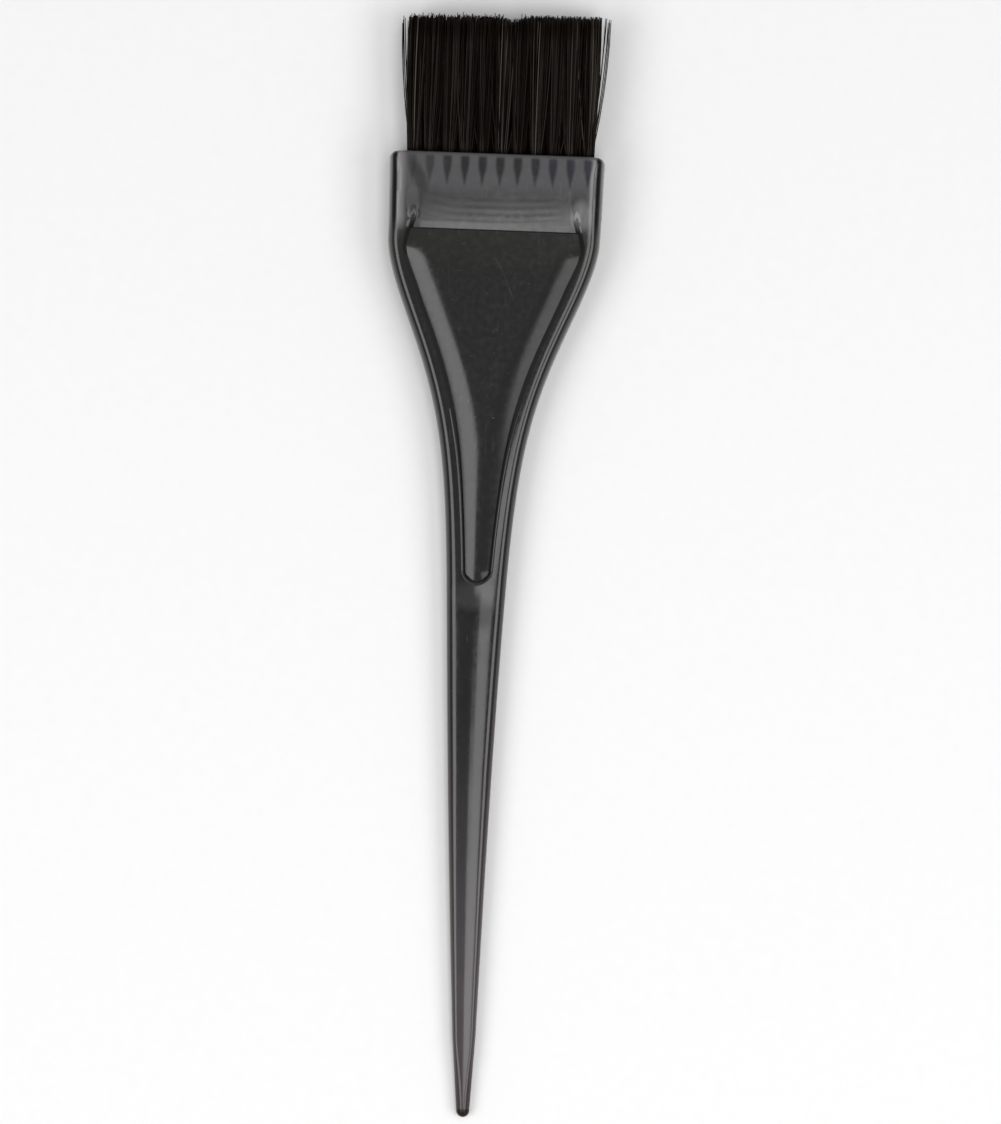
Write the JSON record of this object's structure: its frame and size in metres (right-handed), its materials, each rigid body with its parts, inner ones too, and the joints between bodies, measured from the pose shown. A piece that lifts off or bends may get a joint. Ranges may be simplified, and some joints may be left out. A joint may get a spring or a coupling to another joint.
{
  "type": "tint brush",
  "caption": "Flat tint brush: rectangular head with rows of black bristle tufts, flared body with a dished thumb panel on both faces, and a long tapering tail with a ball end.",
  "frame": {"origin": "centre of the bounding box, on the plane of the head's flat back face", "axes": "+Y along the handle towards the bristle tips, +Z out of the front face, X across the width"},
  "size_m": [0.041, 0.21, 0.0096],
  "materials": {
    "handle_plastic": "gloss",
    "bristle_nylon": "satin",
    "anchor_wire": "satin"
  },
  "bodies": {
    "root": {"handle": "handle_plastic", "tuft_anchors": "anchor_wire", "tuft_front_01": "bristle_nylon", "tuft_front_02": "bristle_nylon", "tuft_front_03": "bristle_nylon", "tuft_front_04": "bristle_nylon", "tuft_front_05": "bristle_nylon", "tuft_front_06": "bristle_nylon", "tuft_front_07": "bristle_nylon", "tuft_front_08": "bristle_nylon", "tuft_front_09": "bristle_nylon", "tuft_front_10": "bristle_nylon", "tuft_front_11": "bristle_nylon", "tuft_middle_01": "bristle_nylon", "tuft_middle_02": "bristle_nylon", "tuft_middle_03": "bristle_nylon", "tuft_middle_04": "bristle_nylon", "tuft_middle_05": "bristle_nylon", "tuft_middle_06": "bristle_nylon", "tuft_middle_07": "bristle_nylon", "tuft_middle_08": "bristle_nylon", "tuft_middle_09": "bristle_nylon", "tuft_middle_10": "bristle_nylon", "tuft_back_01": "bristle_nylon", "tuft_back_02": "bristle_nylon", "tuft_back_03": "bristle_nylon", "tuft_back_04": "bristle_nylon", "tuft_back_05": "bristle_nylon", "tuft_back_06": "bristle_nylon", "tuft_back_07": "bristle_nylon", "tuft_back_08": "bristle_nylon", "tuft_back_09": "bristle_nylon", "tuft_back_10": "bristle_nylon", "tuft_back_11": "bristle_nylon"}
  },
  "joints": []
}
